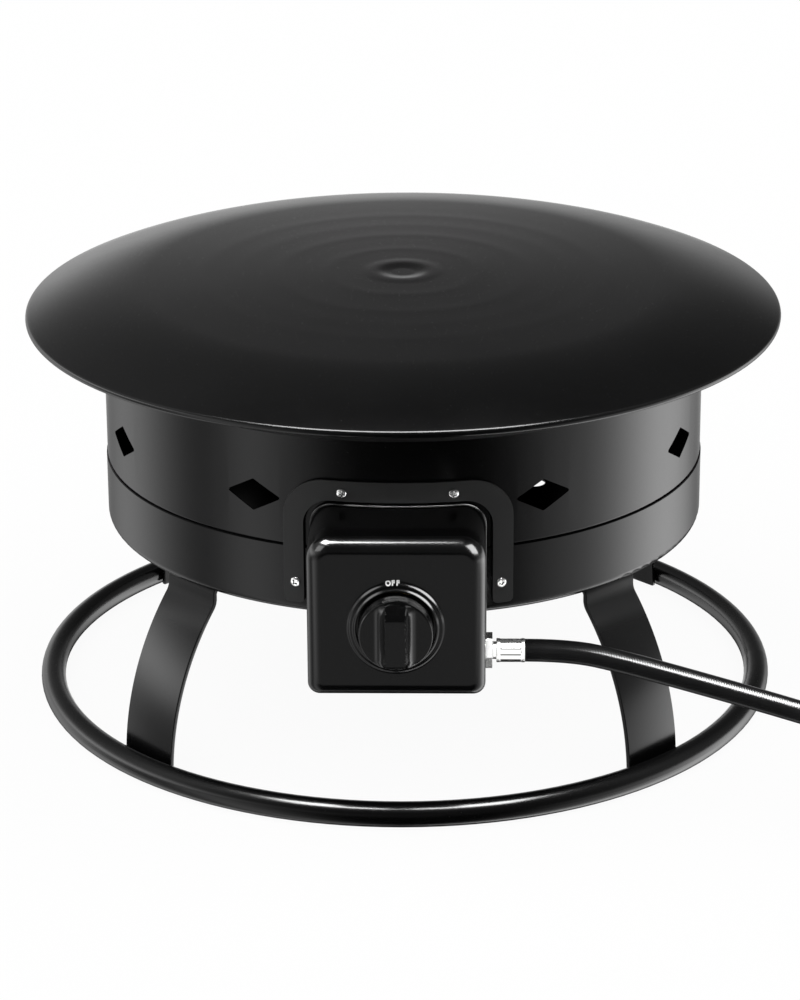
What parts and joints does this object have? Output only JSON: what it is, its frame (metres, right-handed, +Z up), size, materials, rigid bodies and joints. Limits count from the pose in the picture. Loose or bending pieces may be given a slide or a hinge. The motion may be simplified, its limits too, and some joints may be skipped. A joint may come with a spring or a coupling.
{
  "type": "portable propane fire pit",
  "caption": "Portable gas fire pit: a lidded steel fire bowl on a vented drum with a control box and knob, bent strip legs, a tube base ring, and a gas hose with regulator.",
  "frame": {"origin": "centre of the base ring, on the floor that it stands on", "axes": "+Z up, -Y towards the control box and knob, +X towards the gas inlet and hose"},
  "size_m": [0.7835, 0.5223, 0.2799],
  "materials": {
    "gloss_black": "gloss black enamel",
    "bowl_black": "satin black high-temperature paint",
    "stainless": "brushed stainless steel",
    "zinc_steel": "zinc-plated steel",
    "chrome": "bright nickel plate",
    "brass": "turned brass",
    "aluminium": "cast and drawn aluminium",
    "box_plastic": "satin black moulded plastic",
    "knob_plastic": "satin black moulded plastic",
    "hose_rubber": "smooth black rubber",
    "cast_zinc": "grey painted zinc casting",
    "coupling_plastic": "black moulded plastic",
    "seal_rubber": "black rubber"
  },
  "bodies": {
    "base": {"base_ring": "gloss_black", "leg_front_left": "gloss_black", "leg_front_right": "gloss_black", "leg_rear_left": "gloss_black", "leg_rear_right": "gloss_black", "leg_bolts": "zinc_steel", "leg_nuts": "zinc_steel", "base_pan": "gloss_black", "burner_shroud": "gloss_black", "control_flange": "gloss_black", "flange_screws": "chrome", "fire_bowl": "bowl_black", "burner_ring": "stainless", "burner_locknut": "stainless", "burner_orifice": "brass", "gas_pipe": "aluminium", "pipe_nuts": "brass", "control_box": "box_plastic", "box_screws": "zinc_steel", "knob_bezel": "box_plastic", "valve_body": "aluminium", "valve_nut": "brass", "valve_outlet": "brass", "inlet_nut": "chrome", "hose_ferrule": "chrome", "hose_lead": "hose_rubber", "hose_coil": "hose_rubber", "hose_tail": "hose_rubber", "regulator_ferrule": "chrome", "regulator_body": "cast_zinc", "regulator_bonnet": "cast_zinc", "regulator_screws": "zinc_steel", "regulator_nipple": "brass", "nipple_seal": "seal_rubber"},
    "lid": {"lid": "gloss_black"},
    "valve_rotor": {"valve_plug": "brass"},
    "knob": {"knob": "knob_plastic", "valve_stem": "aluminium"},
    "coupling": {"coupling_nut": "coupling_plastic"}
  },
  "joints": [
    {"name": "lid_lift", "type": "slide", "parent": "base", "child": "lid", "axis": [0, 0, 1], "range_m": [0, 0.2]},
    {"name": "knob_turn", "type": "hinge", "parent": "base", "child": "valve_rotor", "pos_m": [0, -0.236, 0.141], "axis": [0, -1, 0], "range_deg": [0, 180]},
    {"name": "knob_press", "type": "slide", "parent": "valve_rotor", "child": "knob", "axis": [0, 1, 0], "range_m": [0, 0.003], "stiffness_N_per_m": 800, "springref_m": -0.004},
    {"name": "coupling_spin", "type": "hinge", "parent": "base", "child": "coupling", "pos_m": [0.51116, 0.09, 0.027], "axis": [0, 1, 0], "continuous": true}
  ]
}
